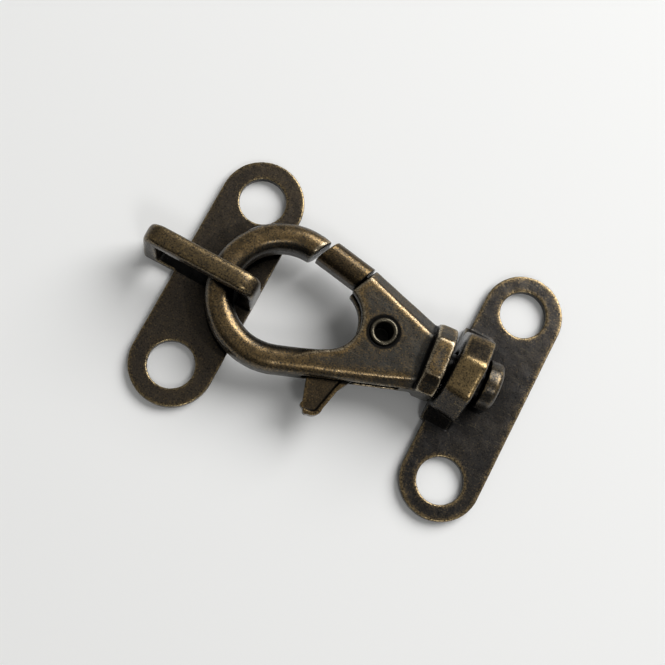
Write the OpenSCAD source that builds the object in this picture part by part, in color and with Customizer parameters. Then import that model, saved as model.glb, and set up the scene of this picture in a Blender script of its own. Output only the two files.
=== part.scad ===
// Snap hook closure: two screw plates joined by a swivelling trigger hook.
// Millimetres, +Z up. The origin is the centre of the swivel plate's hole pattern, on its underside.
// The hook has a frame of its own: x from the collar face out to the bow, y towards the thumb tab.

/* [Plates] */
// Thickness of both screw plates
plate_t = 1.2; // [0.8:0.1:2]
// Distance between the two screw holes of a plate
hole_spacing = 24.5; // [20:0.5:32]
// Distance between the centres of a plate's round ends
end_spacing = 24.2; // [20:0.1:32]
// Diameter of the screw holes
hole_d = 6.1; // [4.2:0.1:7]
// Width of the swivel plate
swivel_plate_w = 10.7; // [9.5:0.1:13]
// Width of the loop plate
loop_plate_w = 11.1; // [9.5:0.1:13]

/* [Swivel lug] */
// Height of the swivel axis above the underside of the plates
axis_z = 4.7; // [4.6:0.1:6]
// Size of the octagonal lug across its flats, on the collar's side
lug_af = 10.5; // [9:0.1:12]
// How much wider the lug is on the head's side
lug_swell = 0.8; // [0:0.1:1.5]
// Turn of the octagon about the swivel axis, in degrees
lug_turn = 13; // [0:1:22]
// How far the lug stands from the middle of its plate
lug_shift = 0.45; // [0:0.05:1]
// Depth of the lug along the swivel axis
lug_depth = 3.8; // [3:0.1:5]
// How far the lug overhangs the edge of its plate
lug_overhang = 0.6; // [0:0.1:1]
// How far the foot of the lug flares out on each side
lug_flare = 1.45; // [0.5:0.05:2.5]
// Radius of the fillet where the lug stands on its plate
lug_fillet = 0.7; // [0.3:0.1:0.9]

/* [Swivel rivet] */
// Diameter of the shank that turns in the lug
stud_d = 4.2; // [3.4:0.1:5]
// Diameter of the tail that is pressed into the collar
tail_d = 3; // [2:0.1:3.2]
// Length of the pressed tail
tail_len = 3.4; // [2:0.1:3.6]
// Diameter of the head beyond the lug
head_d = 6.4; // [5.6:0.1:6.6]
// Thickness of the head
head_t = 2.1; // [1.2:0.1:2.6]
// Radius of the head's rounded outer edge
head_round = 0.8; // [0.3:0.1:1]
// Gap between the lug and the collar, on the axis
neck_gap = 0.65; // [0.65:0.05:1.6]
// Gap between the lug and the head, on the axis
head_gap = 0.8; // [0.4:0.05:1]
// Side lean of the hook in its loose lug, in degrees
hook_yaw = 5.6; // [0:0.2:5.6]
// Clearance round the leaning shank in the lug
stud_play = 0.1; // [0.05:0.01:0.3]
// Clearance of a pressed or riveted pin in its hole
pin_gap = 0.03; // [0.01:0.01:0.06]

/* [Hook] */
// Size of the octagonal collar across its flats
collar_af = 9.2; // [8.4:0.1:9.4]
// Width of the collar's four main flats
collar_flat = 4.8; // [3.8:0.1:5.6]
// Length of the collar along the axis
collar_len = 2.6; // [2:0.1:3.2]
// Chamfer round the ends of the collar
collar_edge = 0.35; // [0.1:0.05:0.6]
// Distance from the collar face to the centre of the bow
bow_x = 22.2; // [20.5:0.1:26]
// Outer radius of the bow
bow_r = 9.6; // [9:0.1:11]
// Width of the bow's section, in the plane of the hook
bow_w = 3.6; // [3:0.1:4]
// Height of the bow's section, and thickness of the hook
bow_h = 4.9; // [4.4:0.1:5.6]
// Rounding of the bow's section
bow_round = 1.6; // [0.8:0.1:1.7]
// Distance from the collar face to the back wall of the eye
eye_back = 11.75; // [11.2:0.05:12.4]
// Where the nose of the bow ends, from the collar face
nose_x = 18.95; // [18.4:0.05:19.6]
// Lean of the nose's end face, in degrees
nose_lean = 32; // [26:1:36]
// How far the gate side of the hook starts inside the collar's flat
flank_inset = 0.2; // [0.1:0.05:0.5]
// Width of the sloping flank on the gate side, at the collar and at the gate
gate_slope = [1.8, 1.4]; // [1:0.1:2]
// Width of the sloping flank on the tab side, at the collar and where the bow starts
tab_slope = [1.3, 0.6]; // [0.4:0.1:1.6]
// Length along the bow over which the flat of the cheeks runs out
cheek_runout = 5; // [3:0.5:5.5]

/* [Slot] */
// Width of the slot between the cheeks
slot_w = 2.1; // [1.9:0.05:2.4]
// Where the slot starts, from the collar face
slot_start = 4.3; // [4.1:0.1:4.8]
// Where the slot ends, from the collar face
slot_end = 16.2; // [16:0.1:17]
// Wall left closed on the gate side of the slot
slot_web = 1.3; // [1:0.05:1.6]

/* [Gate lever] */
// Pivot of the gate, from the collar face
pivot_x = 8.8; // [8.4:0.05:9.2]
// Pivot of the gate, from the hook's axis towards the gate
pivot_out = 0.7; // [0.4:0.05:1]
// Outer corner of the cheeks at the gate, from the collar face
root_x = 12.4; // [12:0.05:13]
// Outer corner of the cheeks at the gate, from the hook's axis
root_out = 7.9; // [7.6:0.05:8.2]
// Lean of the cheeks' end face, in degrees
root_lean = 27; // [23:1:31]
// Rise of the gate away from the hook's axis, in degrees
gate_rise = 14.4; // [12:0.2:16]
// Width of the gate's section, in the plane of the hook
gate_w = 3.5; // [3:0.1:3.8]
// Gap between the gate and the nose
gate_gap = 0.5; // [0.4:0.05:1]
// Gap between the gate and the cheeks
root_gap = 0.2; // [0.15:0.05:0.4]
// Thickness of the lever inside the slot
lever_t = 1.8; // [1.6:0.05:1.85]
// Clearance between the lever's arm and the closed wall of the slot
arm_gap = 0.15; // [0.1:0.05:0.4]
// Radius of the lever's hub
hub_r = 3.2; // [3:0.05:3.5]
// How far the lever lies behind the back wall of the eye
eye_recess = 0.5; // [0.3:0.05:0.9]
// Clearance of the lever on its rivet
pivot_play = 0.06; // [0.03:0.01:0.1]

/* [Thumb tab] */
// Reach of the tab's rounded end, from the hook's axis
tab_reach = 12.3; // [11.5:0.1:14]
// Place of the tab's rounded end along the hook
tab_x = 13.5; // [13:0.1:13.8]
// Radius of the tab's rounded end
tab_r = 1.35; // [1:0.05:1.6]
// Heel of the tab where it leaves the hook
tab_heel_x = 10.3; // [9.8:0.1:11]
// Front of the tab where it leaves the hook
tab_front_x = 15.5; // [15:0.1:15.7]
// Radius of the grip lobes on the tab's end
lobe_r = 0.42; // [0.3:0.02:0.5]
// Depth of the dished face inside the tab's rim
dish_depth = 0.25; // [0.1:0.05:0.4]
// Width of the tab's rim
rim_w = 0.5; // [0.3:0.05:0.7]

/* [Gate rivet] */
// Outer diameter of the gate rivet
rivet_d = 2.9; // [2.4:0.1:3]
// Bore in the rolled end of the gate rivet
rivet_hole_d = 2.3; // [1.6:0.1:2.3]
// Depth of that bore
rivet_bore = 3.6; // [1:0.1:4]
// Diameter of the rivet's rolled ends
rivet_flange_d = 3.7; // [3.3:0.1:4.4]

/* [Gate spring] */
// Wire diameter of the torsion spring
wire_d = 0.4; // [0.3:0.02:0.44]
// Mean radius of the spring's coil
coil_r = 1.95; // [1.9:0.01:2.05]
// Rise of the coil in one turn
coil_pitch = 0.43; // [0.42:0.01:0.5]
// Depth of the spring's pocket in the hub
pocket_depth = 1.1; // [1.05:0.05:1.2]
// Free room between the coil and the wall of its pocket
coil_room = 0.3; // [0.2:0.05:0.4]

/* [Loop] */
// Width of the loop's strap
loop_w = 2.75; // [2:0.05:3.2]
// Outside length of the loop
loop_len = 15.6; // [14:0.1:18]
// Thickness of the loop's legs
leg_t = 1.9; // [1.4:0.1:2.4]
// Thickness of the loop's top bar
bar_t = 2.4; // [1.6:0.1:3]
// Radius of the loop's outer corners
loop_corner = 2.2; // [1:0.1:3]
// Radius of the loop's inner corners
window_corner = 0.5; // [0.2:0.1:0.8]
// Room between the bow and the loop's hook-side leg
leg_room = 1.2; // [1:0.05:1.6]
// Room between the bow and the loop's top bar
bar_room = 0.25; // [0.2:0.05:1]
// How far the loop has slipped along the bow, away from the gate
loop_slip = 0.45; // [0:0.05:1.2]

/* [Hidden] */
$fn = 64;

brass_dark = "#3a3026";
brass_worn = "#5e4c31";
brass_pale = "#8a7a58";
spring_steel = "#77777a";

// Trimming blocks reach this far either way, and cutters stand this far proud
trim = 6;
proud = 1;
// A bar that runs on from another lies this far inside its skin, and starts this far back in it
weld_skin = 0.02;
weld_lap = 0.5;
// Flat left between two rounded corners
corner_land = 0.1;
// The bow's sweep starts this many degrees before its nose, which is then cut
nose_lap = 4;
// Sides of the lug, and where the grip lobes lie round the end of the tab, in degrees
lug_sides = 8;
lobe_angles = [-25, 20, 65];

// Where the collar face lies, and how the hook stands there
lug_x = lug_depth / 2 - swivel_plate_w / 2 - lug_overhang;
lug_bore_r = stud_d / 2 / cos(hook_yaw) + lug_depth / 2 * tan(hook_yaw) + stud_play;
collar_at = lug_depth / 2 + neck_gap;
collar_pos = [lug_x - collar_at * cos(hook_yaw), lug_shift - collar_at * sin(hook_yaw), axis_z];

// The straight side of the hook runs from the collar and touches the bow's outer circle
side_y = collar_af / 2 - flank_inset / 2;
side_run = bow_x - collar_len;
side_angle = asin(bow_r / norm([side_run, side_y])) - atan2(side_y, side_run);
side_out = [-sin(side_angle), cos(side_angle)];
bow_mid = bow_r - bow_w / 2;
eye_r = bow_r - bow_w;
function side_edge(x) = (bow_r - (bow_x - x) * sin(side_angle)) / cos(side_angle);
function side_point(x, inset) = [x, side_edge(x)] - inset * side_out;

// The back of the eye is a smaller circle that touches the same straight side
back_x = (eye_back + eye_r - bow_x * sin(side_angle)) / (1 - sin(side_angle));
back_r = back_x - eye_back;

// The gate side of the cheeks runs from the collar to the root of the gate
flank_start = [collar_len, flank_inset - collar_af / 2];
root = [root_x, -root_out];
flank_angle = atan2(flank_start.y - root.y, root.x - flank_start.x);
flank_dir = [cos(flank_angle), -sin(flank_angle)];
flank_in = [sin(flank_angle), cos(flank_angle)];
root_dir = [sin(root_lean), cos(root_lean)];
function flank_line(inset, x) =
    let (p = flank_start + inset * flank_in) p + flank_dir * (x - p.x) / flank_dir.x;
function meet(p, d, q, e) = p + d * cross(q - p, e) / cross(d, e);

nose = [nose_x, -sqrt(bow_r * bow_r - (bow_x - nose_x) * (bow_x - nose_x))];
nose_normal = [cos(nose_lean), -sin(nose_lean)];
nose_angle = atan2(nose.y, nose.x - bow_x);
pivot = [pivot_x, -pivot_out];
gate_dir = [cos(gate_rise), -sin(gate_rise)];
gate_in = [sin(gate_rise), cos(gate_rise)];
tab_end = [tab_x, tab_reach - tab_r];
pocket_r = coil_r + wire_d / 2 + coil_room;

// The loop hangs round the far end of the bow
wire_at = collar_pos - (bow_x + bow_mid) * [cos(hook_yaw), sin(hook_yaw), 0];
leg_inner_x = wire_at.x + bow_w / 2 + leg_room;
loop_plate_x = leg_inner_x + leg_t - loop_plate_w / 2;
loop_plate_y = wire_at.y - loop_slip;
window_top = axis_z + bow_h / 2 + bar_room;
loop_h = window_top + bar_t;

module stadium(length, width) {
    square([width, length], center = true);
    for (s = [-1, 1]) translate([0, s * length / 2]) circle(d = width);
}

module screw_plate(width) {
    linear_extrude(plate_t) difference() {
        stadium(end_spacing, width);
        for (s = [-1, 1]) translate([0, s * hole_spacing / 2]) circle(d = hole_d);
    }
}

// Rectangle with rounded corners, which leave some flat on every side
module rounded_rect(size, corner) {
    r = min(corner, (min(size.x, size.y) - corner_land) / 2);
    square([size.x - 2 * r, size.y], center = true);
    square([size.x, size.y - 2 * r], center = true);
    for (x = [-1, 1], y = [-1, 1])
        translate([x * (size.x / 2 - r), y * (size.y / 2 - r)]) circle(r);
}

// Draws its children in the hook's own frame
module on_hook() {
    translate(collar_pos) rotate([0, 0, 180 + hook_yaw]) children();
}

// A straight bar of the given section, from a point along a heading in the plane of the hook
module bar(from, heading, length, width, height = bow_h) {
    translate([from.x, from.y, 0]) rotate([0, 0, heading]) rotate([90, 0, 90])
        linear_extrude(length) rounded_rect([width, height], bow_round);
}

// A block on the bow's side of a leaning face, or on the collar's side of it
module past(p, lean, side) {
    translate([p.x, p.y, 0]) rotate([0, 0, -lean])
        translate([side > 0 ? 0 : -2 * trim, -trim, -trim]) cube(2 * trim);
}

// The octagon of the lug along the swivel axis, with eight drafted flats
module lug_octagon() {
    draft = atan(lug_swell / 2 / lug_depth);
    difference() {
        rotate([0, 90, 0])
            cylinder(h = lug_depth, r = (lug_af + lug_swell) / 2 / cos(180 / lug_sides) + proud);
        for (k = [1:lug_sides]) rotate([lug_turn + k * 360 / lug_sides, 0, 0]) translate([0, 0, lug_af / 2])
            rotate([0, -draft, 0]) translate([-trim, -trim, 0]) cube([3 * trim, 2 * trim, trim]);
    }
}

// Flared foot that carries the octagon, seen along the swivel axis
module lug_foot() {
    h = lug_af / 2;
    polygon([[-h - lug_flare, 0], [h + lug_flare, 0], [h + lug_flare, plate_t],
             [h, plate_t + lug_flare], [-h, plate_t + lug_flare], [-h - lug_flare, plate_t]]);
}

module lug_fillet_bar() {
    translate([lug_depth, lug_af / 2, plate_t]) rotate([90, 0, 0])
        linear_extrude(lug_af) difference() {
            translate([-lug_fillet, -plate_t / 2]) square([2 * lug_fillet, lug_fillet + plate_t / 2]);
            translate([lug_fillet, lug_fillet]) circle(lug_fillet);
        }
}

module lug() {
    difference() {
        translate([0, 0, axis_z]) lug_octagon();
        translate([-proud, -2 * trim, plate_t / 2 - 2 * trim]) cube([trim, 4 * trim, 2 * trim]);
    }
    translate([weld_skin, 0, 0]) rotate([90, 0, 90])
        linear_extrude(lug_depth - 2 * weld_skin) lug_foot();
    lug_fillet_bar();
}

module swivel_plate() {
    color(brass_dark) difference() {
        union() {
            screw_plate(swivel_plate_w);
            translate([lug_x - lug_depth / 2, lug_shift, 0]) lug();
        }
        translate([lug_x - lug_depth / 2 - proud, lug_shift, axis_z]) rotate([0, 90, 0])
            cylinder(h = lug_depth + 2 * proud, r = lug_bore_r);
    }
}

// Half profile of the shouldered stud, along its own axis from the pressed tail to the head
module stud_profile() {
    shank = collar_at + lug_depth / 2 + head_gap;
    square([tail_d / 2, tail_len]);
    translate([0, -shank]) square([stud_d / 2, shank]);
    translate([0, -shank - head_t]) {
        square([head_d / 2 - head_round, head_t]);
        translate([0, head_round]) square([head_d / 2, head_t - head_round]);
        intersection() {
            translate([head_d / 2 - head_round, head_round]) circle(head_round);
            square(head_d);
        }
    }
}

module swivel_rivet() {
    color(brass_worn) on_hook() rotate([0, 90, 0]) rotate_extrude() stud_profile();
}

// Square collar with cut corners and turned chamfers at both ends
module collar() {
    h = collar_af / 2;
    f = collar_flat / 2;
    corner = norm([h, f]);
    intersection() {
        rotate([90, 0, 90]) linear_extrude(collar_len)
            polygon([[h, -f], [h, f], [f, h], [-f, h], [-h, f], [-h, -f], [-f, -h], [f, -h]]);
        rotate([0, 90, 0]) rotate_extrude() polygon([
            [0, 0], [corner - collar_edge, 0], [corner, collar_edge],
            [corner, collar_len - collar_edge], [corner - collar_edge, collar_len], [0, collar_len]]);
    }
}

module bow() {
    start = nose_angle - nose_lap;
    side_dir = [side_out.y, -side_out.x];
    tail = [bow_x, 0] + bow_mid * side_out + weld_lap * side_dir;
    difference() {
        translate([bow_x, 0, 0]) rotate([0, 0, start])
            rotate_extrude(angle = 90 + side_angle - start)
                translate([bow_mid, 0]) rounded_rect([bow_w, bow_h], bow_round);
        past(nose, nose_lean, -1);
    }
    bar(tail, 180 + side_angle, (tail.x - collar_len / 2) / cos(side_angle),
        bow_w - 2 * weld_skin, bow_h - 2 * weld_skin);
}

// Planes a 45 degree slope along both faces, right (-1) or left (1) of a line from one point to another
module slope(from, to, side) {
    along = to - from;
    for (s = [0, 1]) mirror([0, 0, s])
        translate([from.x, from.y, bow_h / 2]) rotate([0, 0, atan2(along.y, along.x)])
            rotate([-45 * side, 0, 0]) translate([0, -trim, 0])
                cube([norm(along) + trim, 2 * trim, trim]);
}

// Flat plate of the cheeks behind the eye, which runs out along the bow
module cheek_plate(start, end) {
    side_dir = [side_out.y, -side_out.x];
    edge = [back_x, 0] + (back_r + corner_land) * side_out;
    tip = edge + cheek_runout * side_dir;
    difference() {
        translate([0, 0, -bow_h / 2]) linear_extrude(bow_h) difference() {
            polygon([start, end, [back_x, 0], edge, tip, tip + (bow_w / 2 - corner_land) * side_out,
                     [collar_len / 2, side_edge(collar_len / 2) - bow_w / 2 / cos(side_angle)]]);
            translate([back_x, 0]) circle(back_r);
        }
        slope(edge, tip + bow_round * side_out, -1);
    }
}

module cheeks() {
    start = flank_line(bow_w / 2, collar_len / 2);
    end = meet(start, flank_dir, root, root_dir) + bow_w * flank_dir;
    difference() {
        union() {
            bar(start, -flank_angle, norm(end - start), bow_w, bow_h - 2 * weld_skin);
            cheek_plate(start, end);
        }
        past(root, root_lean, 1);
        slope(flank_line(gate_slope[0], collar_len / 2), root + gate_slope[1] * flank_in, -1);
    }
}

module slot() {
    translate([0, 0, -slot_w / 2]) linear_extrude(slot_w) polygon([
        flank_line(slot_web, slot_start), flank_line(slot_web, root_x + trim / 2), [slot_end, 0],
        [slot_end, bow_r + proud], [slot_start, bow_r + proud]]);
}

module hook_body() {
    color(brass_worn) on_hook() difference() {
        union() {
            collar();
            difference() {
                union() {
                    bow();
                    cheeks();
                }
                slope(side_point(collar_len / 2, tab_slope[0]), side_point(bow_x, tab_slope[1]), 1);
            }
        }
        slot();
        translate([pivot.x, pivot.y, -bow_h]) cylinder(h = 2 * bow_h, d = rivet_d + 2 * pin_gap);
        translate([-proud, 0, 0]) rotate([0, 90, 0])
            cylinder(h = tail_len + pin_gap + proud, d = tail_d + 2 * pin_gap);
    }
}

// Full-section front of the gate, between the cheeks and the nose
module gate_block() {
    tip = nose - gate_gap * nose_normal;
    start = root + gate_w / 2 * gate_in - trim / 2 * gate_dir;
    difference() {
        bar(start, -gate_rise, norm(tip - start) + trim, gate_w);
        past(root + root_gap * [root_dir.y, -root_dir.x], root_lean, -1);
        past(tip, nose_lean, 1);
    }
}

// Outline of the tab from the hook out to its rounded end
tab_heel = [tab_heel_x, side_edge(tab_heel_x)];
tab_front = [tab_front_x, side_edge(tab_front_x)];
tab_waist = (2 * tab_heel + tab_end - [tab_r, 0]) / 3 + [tab_r / 4, 0];

module tab_outline() {
    polygon([tab_heel, tab_waist, tab_end - [tab_r, 0], tab_end + [tab_r, 0], tab_front]);
    translate(tab_end) circle(tab_r);
}

// The dished thumb face is open towards the bow, so the rim follows only the heel and the end
module dish_outline() {
    r = tab_r - rim_w;
    polygon([tab_heel + [rim_w, -proud], tab_waist + [rim_w, 0], tab_end - [r, 0], tab_end + [0, r],
             tab_end + [tab_r + proud, r], tab_front + [proud, -proud]]);
    translate(tab_end) circle(r);
}

module lever_outline() {
    arm_inset = slot_web + arm_gap;
    inside = root + gate_w * gate_in + bow_w / 2 * gate_dir;
    difference() {
        union() {
            translate(pivot) circle(hub_r);
            polygon([flank_line(arm_inset, pivot.x - hub_r / 2), flank_line(arm_inset, inside.x),
                     inside - bow_round * gate_in, pivot + hub_r * [1, 0], pivot]);
            polygon([pivot - hub_r * [cos(30), -sin(30)], tab_heel, tab_front, [tab_front_x, back_r],
                     pivot]);
            tab_outline();
            for (a = lobe_angles)
                translate(tab_end + (tab_r - lobe_r / 2) * [cos(a), sin(a)]) circle(lobe_r);
        }
        translate([back_x, 0]) circle(back_r + eye_recess);
    }
}

// Where the spring lies in the lever: round the rivet, along its free leg and over its fixed leg
leg_angle = 75;
leg_free = 4.5;
leg_fixed = pivot_x - slot_start - wire_d;

module spring_pocket() {
    translate(pivot) {
        circle(pocket_r);
        translate([-hub_r - proud, -pocket_r]) square([hub_r + proud, pocket_r - wire_d]);
        rotate(leg_angle) translate([0, -pocket_r])
            square([leg_free + coil_room, 2 * (pocket_r - coil_r)]);
    }
}

module gate_lever() {
    color(brass_worn) on_hook() difference() {
        union() {
            gate_block();
            translate([0, 0, -lever_t / 2]) linear_extrude(lever_t) lever_outline();
        }
        translate([0, 0, lever_t / 2 - pocket_depth]) linear_extrude(lever_t) spring_pocket();
        for (z = [lever_t / 2 - dish_depth, -lever_t / 2 - proud])
            translate([0, 0, z]) linear_extrude(dish_depth + proud) dish_outline();
        translate([pivot.x, pivot.y, -bow_h]) cylinder(h = 2 * bow_h, r = rivet_d / 2 + pivot_play);
    }
}

// Semi-tubular rivet: one end is bored and rolled over its cheek, the other has a solid head
module gate_rivet() {
    wall = (rivet_d - rivet_hole_d) / 2;
    roll = (rivet_flange_d - rivet_hole_d) / 4;
    color(brass_pale) on_hook() translate([pivot.x, pivot.y, 0]) rotate_extrude() {
        translate([rivet_hole_d / 2, -bow_h / 2]) square([wall, bow_h]);
        translate([0, -bow_h / 2]) square([rivet_d / 2, bow_h - rivet_bore]);
        translate([0, -bow_h / 2 - roll]) square([rivet_hole_d / 2 + roll, roll]);
        for (s = [0, 1]) mirror([0, s]) intersection() {
            translate([rivet_hole_d / 2 + roll, bow_h / 2]) circle(roll);
            translate([0, bow_h / 2]) square(rivet_flange_d);
        }
    }
}

// Path of the spring's wire: fixed leg towards the collar, coil, free leg along the tab
coil_start = -90;
coil_sweep = 360 + leg_angle;
coil_steps = 36;
coil_foot = lever_t / 2 - pocket_depth + wire_d;
function coil_point(t) =
    let (a = coil_start + coil_sweep * t)
    [coil_r * cos(a), coil_r * sin(a), coil_foot + coil_pitch * coil_sweep / 360 * t];
function coil_heading(t) = coil_start + coil_sweep * t + 90;
function heading(a) = [cos(a), sin(a), 0];
wire_path = concat(
    [[coil_point(0) - leg_fixed * heading(coil_heading(0)), coil_heading(0)]],
    [for (i = [0:coil_steps]) [coil_point(i / coil_steps), coil_heading(i / coil_steps)]],
    [[coil_point(1) + leg_free * heading(coil_heading(1)), coil_heading(1)]]);

module swept_wire(path, d, sides = 8) {
    last = len(path) - 1;
    points = [for (p = path, k = [0:sides - 1]) let (a = 360 * k / sides)
        p[0] + d / 2 * (cos(a) * heading(p[1] + 90) + sin(a) * [0, 0, 1])];
    walls = [for (i = [0:last - 1], k = [0:sides - 1]) let (n = (k + 1) % sides)
        [i * sides + k, (i + 1) * sides + k, (i + 1) * sides + n, i * sides + n]];
    ends = [[for (k = [0:sides - 1]) k], [for (k = [sides - 1:-1:0]) last * sides + k]];
    polyhedron(points, concat(walls, ends));
}

module gate_spring() {
    color(spring_steel) on_hook() translate([pivot.x, pivot.y, 0]) swept_wire(wire_path, wire_d);
}

// The loop seen along the plate: a standing frame with a window for the bow
module loop_outline() {
    right = loop_plate_w / 2;
    left = right - loop_len;
    difference() {
        union() {
            translate([left, 0]) square([loop_len, loop_h - loop_corner]);
            translate([left + loop_corner, 0]) square([loop_len - 2 * loop_corner, loop_h]);
            for (x = [left + loop_corner, right - loop_corner])
                translate([x, loop_h - loop_corner]) circle(loop_corner);
        }
        translate([(left + right) / 2, (plate_t + window_top) / 2])
            rounded_rect([loop_len - 2 * leg_t, window_top - plate_t], window_corner);
    }
}

module loop_plate() {
    color(brass_dark) translate([loop_plate_x, loop_plate_y, 0]) {
        screw_plate(loop_plate_w);
        translate([0, loop_w / 2, 0]) rotate([90, 0, 0]) linear_extrude(loop_w) loop_outline();
    }
}

swivel_plate();
swivel_rivet();
hook_body();
gate_lever();
gate_rivet();
gate_spring();
loop_plate();
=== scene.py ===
# %% [markdown]
# # An antique brass snap hook closure
# This lesson dresses a small cast closure: a swivel plate with a lug, a snap hook that turns in it, and a
# loop plate that the hook is clipped to. The construction is already exact, so nothing is moved or resized
# here. What the solids lack is what a foundry and a plating shop give: softened edges, slightly uneven
# skins, and a dark patina that hands have rubbed back to brass on every edge that stands proud.

import math

import bmesh
import bpy
import numpy as np
from mathutils import Matrix, Vector, noise
from mathutils.bvhtree import BVHTree


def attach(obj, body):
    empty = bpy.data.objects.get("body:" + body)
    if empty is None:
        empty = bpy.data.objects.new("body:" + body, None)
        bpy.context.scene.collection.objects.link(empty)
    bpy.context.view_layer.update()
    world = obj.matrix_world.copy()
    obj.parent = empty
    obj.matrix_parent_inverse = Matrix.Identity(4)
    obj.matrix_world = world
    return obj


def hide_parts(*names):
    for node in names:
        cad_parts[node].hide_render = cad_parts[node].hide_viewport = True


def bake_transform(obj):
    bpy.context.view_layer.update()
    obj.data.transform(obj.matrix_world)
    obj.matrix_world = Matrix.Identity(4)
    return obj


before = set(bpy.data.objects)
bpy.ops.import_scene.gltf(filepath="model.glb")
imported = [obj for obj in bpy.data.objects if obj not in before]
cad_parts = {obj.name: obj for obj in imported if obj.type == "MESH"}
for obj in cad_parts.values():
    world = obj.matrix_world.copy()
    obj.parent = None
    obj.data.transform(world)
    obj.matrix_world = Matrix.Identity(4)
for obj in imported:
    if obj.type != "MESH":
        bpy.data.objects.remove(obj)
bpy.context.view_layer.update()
MM = 0.001
print("nodes:", sorted(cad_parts))

# %% [markdown]
# ## The camera
# The clasp lies on white paper and is seen from almost straight above, with the camera a little towards the
# thumb tab's side. A camera could be aimed with a Track To constraint, but a fixed place and turn is easier
# to read and never changes when something else moves.

# %% Camera
CAMERA_PLACE = Vector((-21.54, -33.05, 152.7)) * MM
CAMERA_TURN = (10.16, -5.65, 27.75)
CAMERA_LENS = 64.96
CAMERA_NEAR = 10 * MM

lens = bpy.data.cameras.new("photo_camera")
lens.lens = CAMERA_LENS
lens.clip_start = CAMERA_NEAR
camera = bpy.data.objects.new("photo_camera", lens)
camera.location = CAMERA_PLACE
camera.rotation_euler = [math.radians(angle) for angle in CAMERA_TURN]
bpy.context.scene.collection.objects.link(camera)
bpy.context.scene.camera = camera
print("camera at", [round(value, 3) for value in camera.location])

# %% [markdown]
# ## Paper and light
# Brass is a mirror for its room, so the light is part of the finish. A flat top shows what is overhead,
# which is only the grey of the room, and so it stays dark. A large soft panel on the far side draws the
# pale lines along every rounded edge, and a weak one opposite lifts the near walls.

# %% Paper
FLOOR_SIZE = 3.0
PAPER = (0.88, 0.88, 0.87, 1.0)
PAPER_ROUGHNESS = 0.9
PAPER_GLOSS = 0.1


def plain_paper():
    material = bpy.data.materials.new("paper")
    material.use_nodes = True
    shader = material.node_tree.nodes["Principled BSDF"]
    shader.inputs["Base Color"].default_value = PAPER
    shader.inputs["Roughness"].default_value = PAPER_ROUGHNESS
    shader.inputs["Specular IOR Level"].default_value = PAPER_GLOSS
    return material


floor_mesh = bmesh.new()
bmesh.ops.create_grid(floor_mesh, x_segments=1, y_segments=1, size=FLOOR_SIZE / 2)
floor_data = bpy.data.meshes.new("paper_floor")
floor_mesh.to_mesh(floor_data)
floor_mesh.free()
floor = bpy.data.objects.new("paper_floor", floor_data)
floor.data.materials.append(plain_paper())
bpy.context.scene.collection.objects.link(floor)
print("paper", FLOOR_SIZE, "m wide")

# %% Soft panels
PANELS = {
    "window_panel": {"place": (0.21, 0.465, 0.46), "size": 0.58, "watts": 5.5},
    "fill_panel": {"place": (0.24, -0.26, 0.56), "size": 0.16, "watts": 0.5},
}
PANEL_AIM = Vector((-0.02, 0, 0))


def soft_panel(name, place, size, watts):
    data = bpy.data.lights.new(name, "AREA")
    data.shape = "DISK"
    data.size = size
    data.energy = watts
    panel = bpy.data.objects.new(name, data)
    panel.location = place
    towards = PANEL_AIM - panel.location
    panel.rotation_euler = towards.to_track_quat("-Z", "Y").to_euler()
    bpy.context.scene.collection.objects.link(panel)
    return panel


for panel_name, values in PANELS.items():
    soft_panel(panel_name, **values)
print("panels:", ", ".join(PANELS))

# %% [markdown]
# ## A room with a dark side
# An even grey world would light every wall alike, but a room is darker away from its window, and metal shows
# it. A picture of a room could be wrapped round the scene. Here a dot product measures how far a direction
# points to the dark side, and a smooth ramp mixes two greys by it, which needs no file.

# %% Helpers for ramps and mixes
MIX_COLOURS = (6, 7)
MIX_RESULT = 2


def ramp_between(tree, value, low, high):
    """A mask that climbs smoothly from 0 to 1 as value goes from low to high."""
    node = tree.nodes.new("ShaderNodeMapRange")
    node.interpolation_type = "SMOOTHSTEP"
    node.inputs["From Min"].default_value = low
    node.inputs["From Max"].default_value = high
    tree.links.new(value, node.inputs["Value"])
    return node.outputs["Result"]


def mix_colour(tree, mask, under, over):
    """The colour over laid on the colour under, as strongly as the mask says."""
    node = tree.nodes.new("ShaderNodeMix")
    node.data_type = "RGBA"
    tree.links.new(mask, node.inputs["Factor"])
    for index, value in zip(MIX_COLOURS, (under, over)):
        if isinstance(value, tuple):
            node.inputs[index].default_value = value
        else:
            tree.links.new(value, node.inputs[index])
    return node.outputs[MIX_RESULT]


print("a Mix node's colours are its sockets", MIX_COLOURS)

# %% The uneven room
ROOM_BRIGHT = (0.235, 0.236, 0.233, 1.0)
ROOM_DARK = (0.05, 0.05, 0.05, 1.0)
DARK_SIDE = (-0.35, -0.93, 0.0)
DARKENING = (0.4, 0.9)


def uneven_room():
    room = bpy.data.worlds.new("uneven_room")
    room.use_nodes = True
    tree = room.node_tree
    facing = tree.nodes.new("ShaderNodeVectorMath")
    facing.operation = "DOT_PRODUCT"
    facing.inputs[1].default_value = DARK_SIDE
    tree.links.new(tree.nodes.new("ShaderNodeTexCoord").outputs["Generated"], facing.inputs[0])
    shade = ramp_between(tree, facing.outputs["Value"], *DARKENING)
    colour = mix_colour(tree, shade, ROOM_BRIGHT, ROOM_DARK)
    tree.links.new(colour, tree.nodes["Background"].inputs["Color"])
    return room


bpy.context.scene.world = uneven_room()
bpy.context.scene.view_settings.view_transform = "Standard"
print("room:", bpy.context.scene.world.name)

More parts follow.
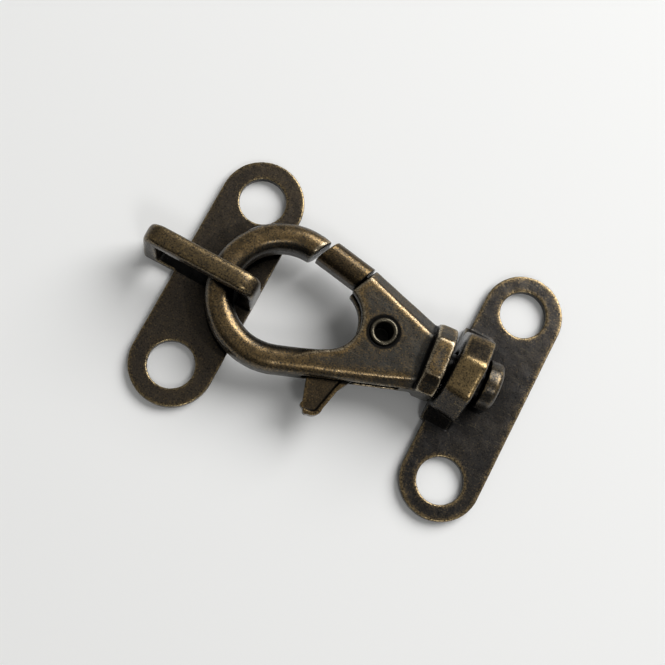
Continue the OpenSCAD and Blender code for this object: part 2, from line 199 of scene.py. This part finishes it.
# %% [markdown]
# ## The rubbed patina
# Antique brass is plated, dipped until it turns brown-black, and then tumbled, so the dark skin stays in
# hollows and on broad flats while edges and crests go back to metal. Painting that by hand would take a
# texture for each piece. Instead each piece carries three measured attributes: `ridge` for sharp edges,
# `proud` for whole bars that stand out, and `shelter_shade` for slots, bores, seams and inner sides that
# nothing rubs, which are also painted almost black as shade. One node group turns them into colour,
# roughness and grain.

# %% Helpers for masks
RIDGE = "ridge"
PROUD = "proud"
SHELTER_SHADE = "shelter_shade"


def link_all(tree, *pairs):
    for source, target in pairs:
        tree.links.new(source, target)


def combine(tree, operation, first, second):
    node = tree.nodes.new("ShaderNodeMath")
    node.operation = operation
    for socket, value in zip(node.inputs, (first, second)):
        if isinstance(value, (int, float)):
            socket.default_value = value
        else:
            tree.links.new(value, socket)
    return node.outputs["Value"]


def times(tree, first, second):
    return combine(tree, "MULTIPLY", first, second)


def weigh(tree, values, weights):
    """The sum of some values, each times its weight."""
    total = None
    for value, weight in zip(values, weights):
        share = times(tree, value, weight)
        total = share if total is None else combine(tree, "ADD", total, share)
    return total


def grain(tree, coordinates, scale, detail):
    node = tree.nodes.new("ShaderNodeTexNoise")
    node.inputs["Scale"].default_value = scale
    node.inputs["Detail"].default_value = detail
    tree.links.new(coordinates, node.inputs["Vector"])
    return node.outputs["Fac"]


def attribute(tree, name):
    node = tree.nodes.new("ShaderNodeAttribute")
    node.attribute_name = name
    return node.outputs["Fac"]


print("attributes:", RIDGE, PROUD, SHELTER_SHADE)

# %% [markdown]
# ### Scratches
# Keys and screws leave fine straight marks. They could be drawn as curves on the mesh, but noise that is
# stretched forty times longer one way than the other is already all streaks. Only its highest crests are
# kept, in three directions that don't line up.

# %% Scratches
SCRATCH_TURNS = (20, 68, 115)
SCRATCH_STRETCH = (220.0, 9000.0, 220.0)
SCRATCH_CRESTS = (0.78, 0.84)


def scratches(tree, coordinates):
    marks = None
    for turn in SCRATCH_TURNS:
        mapping = tree.nodes.new("ShaderNodeMapping")
        mapping.inputs["Rotation"].default_value = (0, 0, math.radians(turn))
        mapping.inputs["Scale"].default_value = SCRATCH_STRETCH
        tree.links.new(coordinates, mapping.inputs["Vector"])
        streaks = ramp_between(tree, grain(tree, mapping.outputs["Vector"], 1.0, 0.0), *SCRATCH_CRESTS)
        marks = streaks if marks is None else combine(tree, "MAXIMUM", marks, streaks)
    return marks


print("scratches in", len(SCRATCH_TURNS), "directions")

# %% [markdown]
# ### The layers of the patina
# The colour is laid on in the shop's order: the dark skin, brown where it is thin, flecks and scratches,
# brass where bars are rubbed, bare metal on edges, then near-black in pits, and last near-black in hollows,
# creases and sheltered places, which is partly their dark patina and partly painted shade. A ColorRamp could
# make the masks, but a pair of named limits for each is easier to tune and to read.

# %% The patina group
SKIN_COLOURS = ("Patina", "Brown", "Brass", "Bare")
SKIN_AMOUNTS = ("Rubbing", "Edge Rubbing", "Flecks", "Scratches")
CLOUDS = {"scale": 420.0, "detail": 4.0}
MOTTLE = {"scale": 1500.0, "detail": 4.0}
SPECKS = {"scale": 5200.0, "detail": 2.0}
BROWN_WEIGHTS = (0.4, 0.6, 0.12)
WEAR_WEIGHTS = (0.4, 1.0)
HEIGHT_WEIGHTS = (0.6, 0.4)
BROWNED = (0.40, 0.72)
RUBBED = (0.80, 1.80)
BARED = (0.95, 1.70)
FLECKED = (0.60, 0.78)
PITTED = (0.48, 0.28)
# The next two limits mask painted shade in creases and in sheltered places, over their dark patina.
SHADED_HOLLOWS = (-0.15, -0.90)
SHADED_SHELTER = (0.05, 0.55)
# Near-black for real pits and for the painted shade in hollows and sheltered places.
SOOT_AND_SHADE = (0.003, 0.003, 0.003, 1.0)
RUBBED_SHARE = 0.85
PIT_SHARE = 0.65
# How strongly the painted shade darkens creases and sheltered places.
HOLLOW_SHADE_SHARE = 0.97
SKIN_ROUGHNESS = 0.20
MOTTLE_ROUGHNESS = 0.18
WORN_SMOOTHNESS = 0.06


def patina_sockets(group):
    for name in SKIN_COLOURS:
        group.interface.new_socket(name, in_out="INPUT", socket_type="NodeSocketColor")
    for name in SKIN_AMOUNTS:
        group.interface.new_socket(name, in_out="INPUT", socket_type="NodeSocketFloat")
    group.interface.new_socket("Colour", in_out="OUTPUT", socket_type="NodeSocketColor")
    for name in ("Roughness", "Height"):
        group.interface.new_socket(name, in_out="OUTPUT", socket_type="NodeSocketFloat")


def patina_group():
    group = bpy.data.node_groups.new("rubbed_patina", "ShaderNodeTree")
    patina_sockets(group)
    given = group.nodes.new("NodeGroupInput").outputs
    result = group.nodes.new("NodeGroupOutput").inputs
    place = group.nodes.new("ShaderNodeTexCoord").outputs["Object"]
    ridge, proud, shade_in_shelter = (attribute(group, name) for name in (RIDGE, PROUD, SHELTER_SHADE))
    clouds, mottle, specks = (grain(group, place, **kind) for kind in (CLOUDS, MOTTLE, SPECKS))

    browned = ramp_between(group, weigh(group, (clouds, specks, proud), BROWN_WEIGHTS), *BROWNED)
    wear = weigh(group, (mottle, specks), WEAR_WEIGHTS)
    crest = times(group, proud, given["Rubbing"])
    rubbed = ramp_between(group, combine(group, "ADD", crest, wear), *RUBBED)
    edge = times(group, ridge, given["Edge Rubbing"])
    bare = ramp_between(group, combine(group, "ADD", edge, wear), *BARED)
    flecks = times(group, ramp_between(group, specks, *FLECKED), given["Flecks"])
    scored = times(group, scratches(group, place), given["Scratches"])
    pits = ramp_between(group, specks, *PITTED)
    # Painted shade: creases and sheltered places go almost black, partly their dark patina and partly shade.
    hollow_shade = combine(group, "MAXIMUM", ramp_between(group, ridge, *SHADED_HOLLOWS),
                     ramp_between(group, shade_in_shelter, *SHADED_SHELTER))

    colour = mix_colour(group, browned, given["Patina"], given["Brown"])
    colour = mix_colour(group, flecks, colour, given["Brass"])
    colour = mix_colour(group, scored, colour, given["Bare"])
    colour = mix_colour(group, times(group, rubbed, RUBBED_SHARE), colour, given["Brass"])
    colour = mix_colour(group, times(group, bare, RUBBED_SHARE), colour, given["Bare"])
    colour = mix_colour(group, times(group, pits, PIT_SHARE), colour, SOOT_AND_SHADE)
    colour = mix_colour(group, times(group, hollow_shade, HOLLOW_SHADE_SHARE), colour, SOOT_AND_SHADE)

    worn = combine(group, "MAXIMUM", rubbed, bare)
    rough = combine(group, "ADD", times(group, mottle, MOTTLE_ROUGHNESS), SKIN_ROUGHNESS)
    rough = combine(group, "SUBTRACT", rough, times(group, worn, WORN_SMOOTHNESS))
    height = weigh(group, (mottle, specks), HEIGHT_WEIGHTS)
    link_all(group, (colour, result["Colour"]), (rough, result["Roughness"]), (height, result["Height"]))
    return group


PATINA = patina_group()
print("patina group:", len(PATINA.nodes), "nodes")

# %% [markdown]
# ## Six shades of one finish
# The pieces are finished alike but not rubbed alike: the swivel plate stays nearly black, the hook is
# browner and brighter from handling, and the rolled end of the rivet is almost bare. Each could have its own
# material from the ground up. Here six share the patina group and differ only in what they give it.

# %% The brass finishes
FINISHES = {
    "plate_brass": {"Patina": (0.032, 0.030, 0.029), "Brown": (0.047, 0.040, 0.032),
                    "Brass": (0.500, 0.345, 0.150), "Bare": (0.440, 0.365, 0.225),
                    "Rubbing": 0.68, "Edge Rubbing": 0.45, "Flecks": 0.12, "Scratches": 0.15},
    "loop_brass": {"Patina": (0.068, 0.056, 0.044), "Brown": (0.094, 0.072, 0.047),
                   "Brass": (0.420, 0.280, 0.105), "Bare": (0.480, 0.370, 0.190),
                   "Rubbing": 0.42, "Edge Rubbing": 0.55, "Flecks": 0.25, "Scratches": 0.10},
    "hook_brass": {"Patina": (0.064, 0.061, 0.054), "Brown": (0.090, 0.068, 0.041),
                   "Brass": (0.450, 0.280, 0.098), "Bare": (0.500, 0.440, 0.330),
                   "Rubbing": 0.45, "Edge Rubbing": 0.60, "Flecks": 0.40, "Scratches": 0.12},
    "gate_brass": {"Patina": (0.056, 0.041, 0.024), "Brown": (0.090, 0.062, 0.031),
                   "Brass": (0.440, 0.280, 0.100), "Bare": (0.480, 0.380, 0.210),
                   "Rubbing": 0.32, "Edge Rubbing": 0.40, "Flecks": 0.35, "Scratches": 0.08},
    "stud_brass": {"Patina": (0.058, 0.054, 0.048), "Brown": (0.080, 0.066, 0.048),
                   "Brass": (0.400, 0.275, 0.120), "Bare": (0.460, 0.350, 0.190),
                   "Rubbing": 0.40, "Edge Rubbing": 0.60, "Flecks": 0.30, "Scratches": 0.0},
    "rivet_brass": {"Patina": (0.300, 0.260, 0.185), "Brown": (0.340, 0.290, 0.200),
                    "Brass": (0.480, 0.410, 0.270), "Bare": (0.540, 0.490, 0.370),
                    "Rubbing": 0.60, "Edge Rubbing": 0.8, "Flecks": 0.20, "Scratches": 0.0},
}
METAL_SHARE = 0.9
LACQUER = 0.05
LACQUER_ROUGHNESS = 0.28
GRAIN_DEPTH = 0.024 * MM


def brass(name, values):
    material = bpy.data.materials.new(name)
    material.use_nodes = True
    tree = material.node_tree
    shader = tree.nodes["Principled BSDF"]
    shader.inputs["Metallic"].default_value = METAL_SHARE
    shader.inputs["Coat Weight"].default_value = LACQUER
    shader.inputs["Coat Roughness"].default_value = LACQUER_ROUGHNESS
    patina = tree.nodes.new("ShaderNodeGroup")
    patina.node_tree = PATINA
    for socket, value in values.items():
        patina.inputs[socket].default_value = (*value, 1.0) if isinstance(value, tuple) else value
    bump = tree.nodes.new("ShaderNodeBump")
    bump.inputs["Distance"].default_value = GRAIN_DEPTH
    link_all(tree, (patina.outputs["Colour"], shader.inputs["Base Color"]),
             (patina.outputs["Roughness"], shader.inputs["Roughness"]),
             (patina.outputs["Height"], bump.inputs["Height"]),
             (bump.outputs["Normal"], shader.inputs["Normal"]))
    return material


materials = {name: brass(name, values) for name, values in FINISHES.items()}
print("finishes:", ", ".join(materials))

# %% [markdown]
# ## The castings
# A die casting has no sharp corner: the mould is radiused and the tumbling barrel takes off the rest. A
# Bevel modifier needs clean edge loops, which an exact solid's triangles don't have, so each casting is
# rebuilt from small voxels and smoothed, which rounds every edge and fills every inner corner by about the
# same radius. The meshes are worked on in millimetres, because the tools' limits suit numbers near 1.

# %% Helpers for meshes
CORNER_GAP = 0.0005


def merged_copy(node, name):
    """A copy of a solid's triangles with their shared corners merged, in millimetres."""
    shape = bmesh.new()
    shape.from_mesh(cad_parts[node].data)
    bmesh.ops.scale(shape, verts=shape.verts, vec=Vector((1, 1, 1)) / MM)
    bmesh.ops.remove_doubles(shape, verts=shape.verts, dist=CORNER_GAP)
    data = bpy.data.meshes.new(name)
    shape.to_mesh(data)
    shape.free()
    return data


def evaluated_mesh(holder):
    """The mesh that an object's modifiers make. The object itself is removed."""
    made = bpy.data.meshes.new_from_object(holder.evaluated_get(bpy.context.evaluated_depsgraph_get()))
    bpy.data.objects.remove(holder)
    return made


def with_modifier(data, kind, **values):
    """The mesh that a modifier makes of this one."""
    holder = bpy.data.objects.new("holder", data)
    bpy.context.scene.collection.objects.link(holder)
    modifier = holder.modifiers.new(kind.lower(), kind)
    for name, value in values.items():
        setattr(modifier, name, value)
    return evaluated_mesh(holder)


def vectors_of(data, kind):
    """Each point's place, for co, or its normal, for normal, as rows of three numbers."""
    vectors = np.empty(len(data.vertices) * 3)
    data.vertices.foreach_get(kind, vectors)
    return vectors.reshape(-1, 3)


print("corners within", CORNER_GAP, "mm are merged")

# %% [markdown]
# ### Where a casting stands proud
# Smoothing pulls ridges in and lets hollows rise, so how far a point sinks tells how proud it stands. A few
# passes find the sharp edges, and many find whole bars. The Pointiness output of the Geometry node sees only
# the nearest points, and it can't be kept with the mesh as an attribute can.

# %% Ridges and bars
RIDGE_PASSES = 40
RIDGE_DEPTH = 0.05
PROUD_PASSES = 260
PROUD_DEPTH = 0.10
SMOOTHING_STEP = 0.5


def sink(data, passes):
    """How far each point moves inwards when the shape is smoothed: ridges sink, hollows rise."""
    smoothed = with_modifier(data, "SMOOTH", factor=SMOOTHING_STEP, iterations=passes)
    moved = vectors_of(data, "co") - vectors_of(smoothed, "co")
    bpy.data.meshes.remove(smoothed)
    return (moved * vectors_of(data, "normal")).sum(1)


def add_attribute(data, name, values):
    layer = data.attributes.new(name, "FLOAT", "POINT")
    layer.data.foreach_set("value", np.clip(values, -1.0, 1.0).astype(np.float32))


print("ridges from", RIDGE_PASSES, "passes and bars from", PROUD_PASSES)

# %% [markdown]
# ### Where nothing rubs, and painted shade
# Slots, bores, the seams between pieces and the inner sides of the eye and the loop keep their dark skin,
# and the patina also paints them almost black as shade. An Ambient Occlusion node could darken them in the
# render, but it would change with every pose. Here each point looks round once, at rest, with a few rays at
# all the solids and the surface they are screwed to.

# %% Walls to measure against
SEAT_SIZE = 200.0


def wall_tree(nodes, seat=0.0):
    """These solids, and a seat under them where it has a size, in one tree of faces to measure against."""
    points, faces = [], []
    for node in nodes:
        data = merged_copy(node, node + "_walls")
        faces += [[index + len(points) for index in face.vertices] for face in data.polygons]
        points += [vertex.co.copy() for vertex in data.vertices]
        bpy.data.meshes.remove(data)
    if seat:
        corners = [(-seat, -seat, 0), (seat, -seat, 0), (seat, seat, 0), (-seat, seat, 0)]
        faces.append([index + len(points) for index in range(4)])
        points += [Vector(corner) for corner in corners]
    return BVHTree.FromPolygons(points, faces)


WALLS = wall_tree(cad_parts, SEAT_SIZE)
print("walls of", len(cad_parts), "solids and their seat")

# %% Slots and bores
UP = Vector((0, 0, 1))
ACROSS = Vector((1, 0, 0))
NEARLY_UP = 0.9
SHELTER_START = 0.35
SHELTER_REACH = 14.0
SHELTER_SPREAD = 0.7


def shelter_shade(data):
    """How closely each point faces another wall: near 1 in slots and bores, 0 in the open."""
    hidden = np.zeros(len(data.vertices))
    for index, vertex in enumerate(data.vertices):
        normal = vertex.normal
        side = SHELTER_SPREAD * (UP.cross(normal) if abs(normal.z) < NEARLY_UP else ACROSS)
        start = vertex.co + SHELTER_START * normal
        rays = (normal, normal + side, normal - side)
        for towards in rays:
            distance = WALLS.ray_cast(start, towards, SHELTER_REACH)[3]
            if distance is not None:
                hidden[index] += (1 - distance / SHELTER_REACH) / len(rays)
    return hidden


print("shelter within", SHELTER_REACH, "mm")

# %% Seams and inner sides
SEAM_REACH = 0.55
RING_START = 1.2
RING_DROP = 1.5
RING_REACH = 20.0
RING_TILT = (0.15, 0.55)


def seams(data, node):
    """How near each point is to the other pieces: 1 where they touch, 0 beyond the seam."""
    others = wall_tree([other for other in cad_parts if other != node])
    near = np.zeros(len(data.vertices))
    for index, vertex in enumerate(data.vertices):
        distance = others.find_nearest(vertex.co, SEAM_REACH)[3]
        if distance is not None:
            near[index] = 1 - distance / SEAM_REACH
    return near


def ring_sides(data, node):
    """Which sides face the inside of an eye or a loop, where no hand rubs: 1 on its walls, 0 elsewhere."""
    own = wall_tree([node])
    inside = np.zeros(len(data.vertices))
    gentle, steep = RING_TILT
    for index, vertex in enumerate(data.vertices):
        level = Vector((vertex.normal.x, vertex.normal.y, 0))
        tilt = level.length
        if tilt > gentle:
            level.normalize()
            start = vertex.co + RING_START * level - RING_DROP * UP
            if own.ray_cast(start, level, RING_REACH)[3] is not None:
                inside[index] = min(1.0, (tilt - gentle) / (steep - gentle))
    return inside


print("seams within", SEAM_REACH, "mm, inner sides within", RING_REACH)

# %% [markdown]
# ### Softer above the plate
# The lug and the loop stand up from thin plates and are rounder than the plates' own rims. They could be
# castings of their own, but then a seam would show at their feet. A vertex group that grows with height lets
# a second Smooth modifier work on them alone.

# %% Softening by height
HIGH_SOFTENING = 90


def lifted(data, low, high):
    """0 up to the height low, 1 from the height high, and a straight climb between."""
    return np.clip((vectors_of(data, "co")[:, 2] - low) / (high - low), 0.0, 1.0)


def soften_above(data, low, high):
    """Smooths the part of a casting that stands above its plate, more and more from low to high."""
    holder = bpy.data.objects.new("softened", data)
    bpy.context.scene.collection.objects.link(holder)
    weights = lifted(data, low, high)
    group = holder.vertex_groups.new(name="high")
    for index in np.flatnonzero(weights):
        group.add([int(index)], float(weights[index]), "REPLACE")
    modifier = holder.modifiers.new("soften", "SMOOTH")
    modifier.factor = 1.0
    modifier.iterations = HIGH_SOFTENING
    modifier.vertex_group = group.name
    return evaluated_mesh(holder)


print("high parts get", HIGH_SOFTENING, "more passes")

# %% [markdown]
# ### Marks of wear and a wavy skin
# The measures come together as the three attributes that the patina reads. What is sheltered shines less,
# as it is rubbed less and painted darker as shade, and what stands high above a plate is rubbed most on its
# upward faces. A faint noise along the normals then gives the waviness that real castings show in their
# reflections. A bump map would give it only to the shading and not to the outline.

# %% Wear and waves
LOW_EDGES = 0.40
HIGH_RUBBING = 1.0
RING_DARK = 0.30
RIPPLE_LENGTH = 1.6
RIPPLE_HEIGHT = 0.02


def mark_wear(data, node, high):
    upward = vectors_of(data, "normal")[:, 2]
    ridge = sink(data, RIDGE_PASSES) / RIDGE_DEPTH
    proud = sink(data, PROUD_PASSES) / PROUD_DEPTH * upward ** 2
    if high:
        proud = proud * LOW_EDGES + HIGH_RUBBING * lifted(data, *high) * upward ** 3
    # This measure is painted as shade: the patina darkens these places almost to black, partly their dark
    # skin where nothing rubs and partly shade in slots, bores, seams and under other parts.
    hidden = np.maximum(shelter_shade(data), seams(data, node))
    hidden = np.maximum(hidden, RING_DARK * ring_sides(data, node))
    ridge[ridge > 0] *= 1 - hidden[ridge > 0]
    proud *= 1 - hidden
    for name, values in ((RIDGE, ridge), (PROUD, proud), (SHELTER_SHADE, hidden)):
        add_attribute(data, name, values)


def ripple(data):
    for vertex, normal in zip(data.vertices, vectors_of(data, "normal")):
        wave = noise.noise(vertex.co / RIPPLE_LENGTH)
        vertex.co += Vector(normal) * wave * RIPPLE_HEIGHT


print("skins wave by", RIPPLE_HEIGHT, "mm every", RIPPLE_LENGTH)

# %% [markdown]
# ### From a solid to a casting
# Small pieces take a finer voxel, so that their detail survives. The hook is the largest, and its voxel is a
# little coarser, which keeps it under 200,000 triangles. Its sides are also the roundest, so it is smoothed
# longest. The plates give the heights between which their lug or loop grows softer.

# %% The six castings


def casting(node, name, body, finish, voxel=0.12, rounding=12, high=None):
    solid = merged_copy(node, name + "_solid")
    blocky = with_modifier(solid, "REMESH", mode="VOXEL", voxel_size=voxel)
    data = with_modifier(blocky, "SMOOTH", factor=SMOOTHING_STEP, iterations=rounding)
    if high:
        data = soften_above(data, *high)
    mark_wear(data, node, high)
    ripple(data)
    data.transform(Matrix.Scale(MM, 4))
    data.name = name
    data.materials.clear()
    data.materials.append(materials[finish])
    data.shade_smooth()
    piece = bpy.data.objects.new(name, data)
    bpy.context.scene.collection.objects.link(piece)
    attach(piece, body)
    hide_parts(node)
    print(name, len(data.polygons), "faces")
    return piece


casting("swivel_plate", "swivel_plate_cast", "swivel_plate", "plate_brass", high=(3.0, 8.0))
casting("loop_plate", "loop_plate_cast", "loop", "loop_brass", high=(3.0, 9.0))
casting("hook_body", "hook_body_cast", "hook", "hook_brass", voxel=0.135, rounding=20)
casting("gate_lever", "gate_lever_cast", "gate", "gate_brass", voxel=0.09, rounding=5)
casting("swivel_rivet", "swivel_stud", "hook", "stud_brass", voxel=0.09)
casting("gate_rivet", "gate_rivet_rolled", "hook", "rivet_brass", voxel=0.07, rounding=4)

# %% [markdown]
# ## The spring
# The torsion spring sits in the slot: one leg bears on the hook, the other on the lever, and the coil twists
# when the gate is pushed. A rigid piece would be left behind by the lever, and this copy of the solid is
# rigid: its corners are merged and its wire is shaded smooth.

# %% Spring steel
STEEL_BRIGHT = (0.24, 0.23, 0.22, 1.0)
STEEL_DULL = (0.11, 0.10, 0.09, 1.0)
STEEL_ROUGHNESS = 0.25
TARNISH = {"scale": 900.0, "detail": 3.0}
TARNISHED = (0.35, 0.7)
TARNISH_ROUGHNESS = 0.2


def drawn_steel():
    material = bpy.data.materials.new("spring_wire")
    material.use_nodes = True
    tree = material.node_tree
    shader = tree.nodes["Principled BSDF"]
    shader.inputs["Metallic"].default_value = 1.0
    place = tree.nodes.new("ShaderNodeTexCoord").outputs["Object"]
    tarnish = ramp_between(tree, grain(tree, place, **TARNISH), *TARNISHED)
    colour = mix_colour(tree, tarnish, STEEL_BRIGHT, STEEL_DULL)
    rough = combine(tree, "ADD", times(tree, tarnish, TARNISH_ROUGHNESS), STEEL_ROUGHNESS)
    link_all(tree, (colour, shader.inputs["Base Color"]), (rough, shader.inputs["Roughness"]))
    return material


STEEL = drawn_steel()
print("steel:", STEEL.name)

# %% The wound spring
CAP_ANGLE = math.radians(60)


def wound_spring():
    data = merged_copy("gate_spring", "gate_spring_wound")
    data.transform(Matrix.Scale(MM, 4))
    data.materials.clear()
    data.materials.append(STEEL)
    data.shade_smooth()
    data.set_sharp_from_angle(angle=CAP_ANGLE)
    piece = bpy.data.objects.new("gate_spring_wound", data)
    bpy.context.scene.collection.objects.link(piece)
    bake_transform(piece)
    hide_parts("gate_spring")
    return piece


print(wound_spring().name, "twists with the gate")
